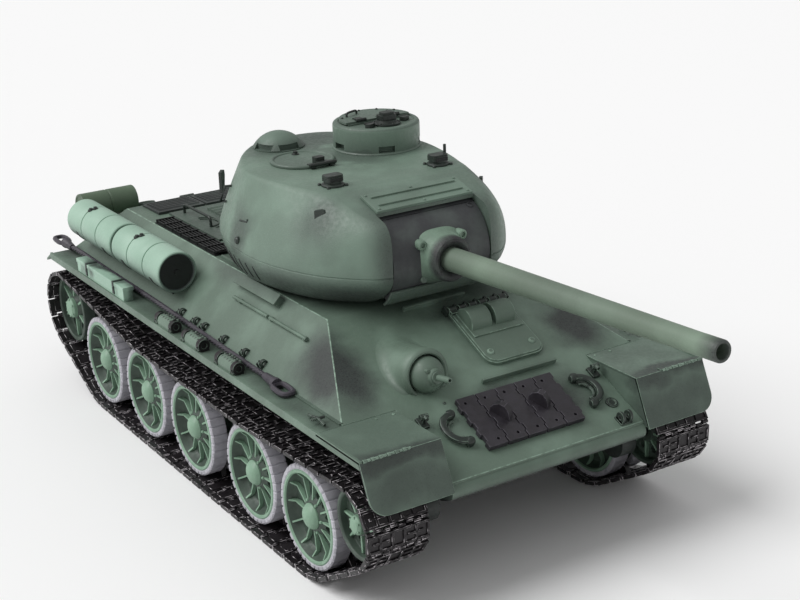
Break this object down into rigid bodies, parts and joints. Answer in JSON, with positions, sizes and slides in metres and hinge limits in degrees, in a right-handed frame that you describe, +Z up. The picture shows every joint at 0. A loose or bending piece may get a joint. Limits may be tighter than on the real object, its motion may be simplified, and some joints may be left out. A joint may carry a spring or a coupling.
{
  "type": "radio controlled tank",
  "caption": "Radio-controlled model tank with sloped hull, cast turret, long gun, sprung road wheels, link tracks, hatches and fuel drums.",
  "frame": {"origin": "on the ground under the centre of the whole footprint, gun included", "axes": "+Z up, gun points along -Y, the tank's left side is +X"},
  "size_m": [0.19, 0.4712, 0.1749],
  "materials": {
    "hull_paint": "matt grey-green airbrushed paint",
    "dark_paint": "matt dark grey-green paint",
    "drum_paint": "pale mint green paint",
    "tyre_rubber": "grey-violet rubber with dry-brushed edges",
    "track_metal": "near-black with bright worn edges",
    "dark_steel": "dark blue-grey",
    "gear_brass": "plain",
    "gear_nylon": "natural nylon",
    "motor_steel": "brushed",
    "board_green": "solder mask",
    "battery_wrap": "shrink wrap",
    "black_plastic": "moulded",
    "screw_steel": "zinc"
  },
  "bodies": {
    "root": {"lower_hull": "dark_paint", "upper_hull": "hull_paint", "fenders": "hull_paint", "front_mudguards": "dark_paint", "engine_deck": "hull_paint", "rear_panel": "hull_paint", "glacis_fittings": "dark_paint", "spare_links": "dark_steel", "tow_cables": "dark_steel", "grousers": "dark_steel", "stowage_box": "drum_paint", "fuel_tanks": "drum_paint", "smoke_canisters": "dark_paint", "handrails": "dark_paint", "hull_screws": "screw_steel", "battery_pack": "battery_wrap", "control_board": "board_green", "speaker": "black_plastic", "gearboxes": "gear_nylon", "turret_motor": "motor_steel", "track_r": "track_metal", "track_l": "track_metal"},
    "turret": {"turret_ring": "gear_nylon", "turret_shell": "hull_paint", "mantlet_cover": "hull_paint", "cupola": "hull_paint", "roof_fittings": "hull_paint"},
    "gun": {"mantlet": "dark_paint", "gun_barrel": "hull_paint"},
    "cupola_lid": {"cupola_hatch": "hull_paint"},
    "loader_lid": {"loader_hatch": "hull_paint"},
    "driver_lid": {"driver_hatch": "hull_paint"},
    "hull_mg": {"mg_ball": "hull_paint"},
    "pinion": {"turret_pinion": "gear_brass"},
    "battery_lid": {"battery_door": "dark_paint"},
    "switch_knob": {"power_switch": "black_plastic"},
    "sprocket_r_body": {"sprocket_r": "hull_paint"},
    "idler_r_body": {"idler_r": "hull_paint"},
    "arm_r1_body": {"arm_r1": "dark_steel"},
    "wheel_r1_body": {"road_wheel_r1": "tyre_rubber"},
    "arm_r2_body": {"arm_r2": "dark_steel"},
    "wheel_r2_body": {"road_wheel_r2": "tyre_rubber"},
    "arm_r3_body": {"arm_r3": "dark_steel"},
    "wheel_r3_body": {"road_wheel_r3": "tyre_rubber"},
    "arm_r4_body": {"arm_r4": "dark_steel"},
    "wheel_r4_body": {"road_wheel_r4": "tyre_rubber"},
    "arm_r5_body": {"arm_r5": "dark_steel"},
    "wheel_r5_body": {"road_wheel_r5": "tyre_rubber"},
    "sprocket_l_body": {"sprocket_l": "hull_paint"},
    "idler_l_body": {"idler_l": "hull_paint"},
    "arm_l1_body": {"arm_l1": "dark_steel"},
    "wheel_l1_body": {"road_wheel_l1": "tyre_rubber"},
    "arm_l2_body": {"arm_l2": "dark_steel"},
    "wheel_l2_body": {"road_wheel_l2": "tyre_rubber"},
    "arm_l3_body": {"arm_l3": "dark_steel"},
    "wheel_l3_body": {"road_wheel_l3": "tyre_rubber"},
    "arm_l4_body": {"arm_l4": "dark_steel"},
    "wheel_l4_body": {"road_wheel_l4": "tyre_rubber"},
    "arm_l5_body": {"arm_l5": "dark_steel"},
    "wheel_l5_body": {"road_wheel_l5": "tyre_rubber"}
  },
  "joints": [
    {"name": "turret_yaw", "type": "hinge", "parent": "root", "child": "turret", "pos_m": [0, 0.03515, 0.1034], "axis": [0, 0, 1], "range_deg": [-160, 160]},
    {"name": "turret_pinion_spin", "type": "hinge", "parent": "root", "child": "pinion", "pos_m": [0, 0.06515, 0.097], "axis": [0, 0, 1], "range_deg": [-962, 962]},
    {"name": "gun_elevation", "type": "hinge", "parent": "turret", "child": "gun", "pos_m": [0, -0.02835, 0.1258], "axis": [-1, 0, 0], "range_deg": [-7.5, 11.7]},
    {"name": "cupola_hatch_hinge", "type": "hinge", "parent": "turret", "child": "cupola_lid", "pos_m": [0.0275, 0.04795, 0.17145], "axis": [1, 0, 0], "range_deg": [0, 95]},
    {"name": "loader_hatch_hinge", "type": "hinge", "parent": "turret", "child": "loader_lid", "pos_m": [-0.019, 0.02815, 0.15825], "axis": [1, 0, 0], "range_deg": [0, 100]},
    {"name": "driver_hatch_hinge", "type": "hinge", "parent": "root", "child": "driver_lid", "pos_m": [0.0195, -0.04972, 0.09854], "axis": [-1, 0, 0], "range_deg": [0, 60]},
    {"name": "hull_mg_tilt", "type": "hinge", "parent": "root", "child": "hull_mg", "pos_m": [-0.0325, -0.08305, 0.0864], "axis": [-1, 0, 0], "range_deg": [-10, 10]},
    {"name": "battery_door_hinge", "type": "hinge", "parent": "root", "child": "battery_lid", "pos_m": [0, -0.00425, 0.025], "axis": [-1, 0, 0], "range_deg": [0, 90]},
    {"name": "power_switch_slide", "type": "slide", "parent": "root", "child": "switch_knob", "axis": [0, 1, 0], "range_m": [0, 0.0046]},
    {"name": "sprocket_r_spin", "type": "hinge", "parent": "root", "child": "sprocket_r_body", "pos_m": [-0.0795, 0.21245, 0.045], "axis": [1, 0, 0], "continuous": true},
    {"name": "idler_r_spin", "type": "hinge", "parent": "root", "child": "idler_r_body", "pos_m": [-0.0795, -0.11255, 0.041], "axis": [1, 0, 0], "continuous": true},
    {"name": "arm_r1_swing", "type": "hinge", "parent": "root", "child": "arm_r1_body", "pos_m": [-0.057, -0.09005, 0.0352], "axis": [1, 0, 0], "range_deg": [0, 8], "stiffness_Nm_per_rad": 0.15, "springref_deg": -17.19, "deforming": ["track_r"]},
    {"name": "wheel_r1_spin", "type": "hinge", "parent": "arm_r1_body", "child": "wheel_r1_body", "pos_m": [-0.0795, -0.07155, 0.0277], "axis": [1, 0, 0], "continuous": true},
    {"name": "arm_r2_swing", "type": "hinge", "parent": "root", "child": "arm_r2_body", "pos_m": [-0.057, -0.03505, 0.0352], "axis": [1, 0, 0], "range_deg": [0, 8], "stiffness_Nm_per_rad": 0.15, "springref_deg": -17.19, "deforming": ["track_r"]},
    {"name": "wheel_r2_spin", "type": "hinge", "parent": "arm_r2_body", "child": "wheel_r2_body", "pos_m": [-0.0795, -0.01655, 0.0277], "axis": [1, 0, 0], "continuous": true},
    {"name": "arm_r3_swing", "type": "hinge", "parent": "root", "child": "arm_r3_body", "pos_m": [-0.057, 0.02995, 0.0352], "axis": [1, 0, 0], "range_deg": [0, 8], "stiffness_Nm_per_rad": 0.15, "springref_deg": -17.19, "deforming": ["track_r"]},
    {"name": "wheel_r3_spin", "type": "hinge", "parent": "arm_r3_body", "child": "wheel_r3_body", "pos_m": [-0.0795, 0.04845, 0.0277], "axis": [1, 0, 0], "continuous": true},
    {"name": "arm_r4_swing", "type": "hinge", "parent": "root", "child": "arm_r4_body", "pos_m": [-0.057, 0.08745, 0.0352], "axis": [1, 0, 0], "range_deg": [0, 8], "stiffness_Nm_per_rad": 0.15, "springref_deg": -17.19, "deforming": ["track_r"]},
    {"name": "wheel_r4_spin", "type": "hinge", "parent": "arm_r4_body", "child": "wheel_r4_body", "pos_m": [-0.0795, 0.10595, 0.0277], "axis": [1, 0, 0], "continuous": true},
    {"name": "arm_r5_swing", "type": "hinge", "parent": "root", "child": "arm_r5_body", "pos_m": [-0.057, 0.14495, 0.0352], "axis": [1, 0, 0], "range_deg": [0, 8], "stiffness_Nm_per_rad": 0.15, "springref_deg": -17.19, "deforming": ["track_r"]},
    {"name": "wheel_r5_spin", "type": "hinge", "parent": "arm_r5_body", "child": "wheel_r5_body", "pos_m": [-0.0795, 0.16345, 0.0277], "axis": [1, 0, 0], "continuous": true},
    {"name": "sprocket_l_spin", "type": "hinge", "parent": "root", "child": "sprocket_l_body", "pos_m": [0.0795, 0.21245, 0.045], "axis": [1, 0, 0], "continuous": true},
    {"name": "idler_l_spin", "type": "hinge", "parent": "root", "child": "idler_l_body", "pos_m": [0.0795, -0.11255, 0.041], "axis": [1, 0, 0], "continuous": true},
    {"name": "arm_l1_swing", "type": "hinge", "parent": "root", "child": "arm_l1_body", "pos_m": [0.057, -0.09005, 0.0352], "axis": [1, 0, 0], "range_deg": [0, 8], "stiffness_Nm_per_rad": 0.15, "springref_deg": -17.19, "deforming": ["track_l"]},
    {"name": "wheel_l1_spin", "type": "hinge", "parent": "arm_l1_body", "child": "wheel_l1_body", "pos_m": [0.0795, -0.07155, 0.0277], "axis": [1, 0, 0], "continuous": true},
    {"name": "arm_l2_swing", "type": "hinge", "parent": "root", "child": "arm_l2_body", "pos_m": [0.057, -0.03505, 0.0352], "axis": [1, 0, 0], "range_deg": [0, 8], "stiffness_Nm_per_rad": 0.15, "springref_deg": -17.19, "deforming": ["track_l"]},
    {"name": "wheel_l2_spin", "type": "hinge", "parent": "arm_l2_body", "child": "wheel_l2_body", "pos_m": [0.0795, -0.01655, 0.0277], "axis": [1, 0, 0], "continuous": true},
    {"name": "arm_l3_swing", "type": "hinge", "parent": "root", "child": "arm_l3_body", "pos_m": [0.057, 0.02995, 0.0352], "axis": [1, 0, 0], "range_deg": [0, 8], "stiffness_Nm_per_rad": 0.15, "springref_deg": -17.19, "deforming": ["track_l"]},
    {"name": "wheel_l3_spin", "type": "hinge", "parent": "arm_l3_body", "child": "wheel_l3_body", "pos_m": [0.0795, 0.04845, 0.0277], "axis": [1, 0, 0], "continuous": true},
    {"name": "arm_l4_swing", "type": "hinge", "parent": "root", "child": "arm_l4_body", "pos_m": [0.057, 0.08745, 0.0352], "axis": [1, 0, 0], "range_deg": [0, 8], "stiffness_Nm_per_rad": 0.15, "springref_deg": -17.19, "deforming": ["track_l"]},
    {"name": "wheel_l4_spin", "type": "hinge", "parent": "arm_l4_body", "child": "wheel_l4_body", "pos_m": [0.0795, 0.10595, 0.0277], "axis": [1, 0, 0], "continuous": true},
    {"name": "arm_l5_swing", "type": "hinge", "parent": "root", "child": "arm_l5_body", "pos_m": [0.057, 0.14495, 0.0352], "axis": [1, 0, 0], "range_deg": [0, 8], "stiffness_Nm_per_rad": 0.15, "springref_deg": -17.19, "deforming": ["track_l"]},
    {"name": "wheel_l5_spin", "type": "hinge", "parent": "arm_l5_body", "child": "wheel_l5_body", "pos_m": [0.0795, 0.16345, 0.0277], "axis": [1, 0, 0], "continuous": true}
  ],
  "couplings": [
    {"joint": "turret_pinion_spin", "follows": "turret_yaw", "ratio": 6},
    {"joint": "idler_r_spin", "follows": "sprocket_r_spin", "ratio": 1.2121},
    {"joint": "wheel_r1_spin", "follows": "sprocket_r_spin", "ratio": 0.8},
    {"joint": "wheel_r2_spin", "follows": "sprocket_r_spin", "ratio": 0.8},
    {"joint": "wheel_r3_spin", "follows": "sprocket_r_spin", "ratio": 0.8},
    {"joint": "wheel_r4_spin", "follows": "sprocket_r_spin", "ratio": 0.8},
    {"joint": "wheel_r5_spin", "follows": "sprocket_r_spin", "ratio": 0.8},
    {"joint": "idler_l_spin", "follows": "sprocket_l_spin", "ratio": 1.2121},
    {"joint": "wheel_l1_spin", "follows": "sprocket_l_spin", "ratio": 0.8},
    {"joint": "wheel_l2_spin", "follows": "sprocket_l_spin", "ratio": 0.8},
    {"joint": "wheel_l3_spin", "follows": "sprocket_l_spin", "ratio": 0.8},
    {"joint": "wheel_l4_spin", "follows": "sprocket_l_spin", "ratio": 0.8},
    {"joint": "wheel_l5_spin", "follows": "sprocket_l_spin", "ratio": 0.8}
  ]
}
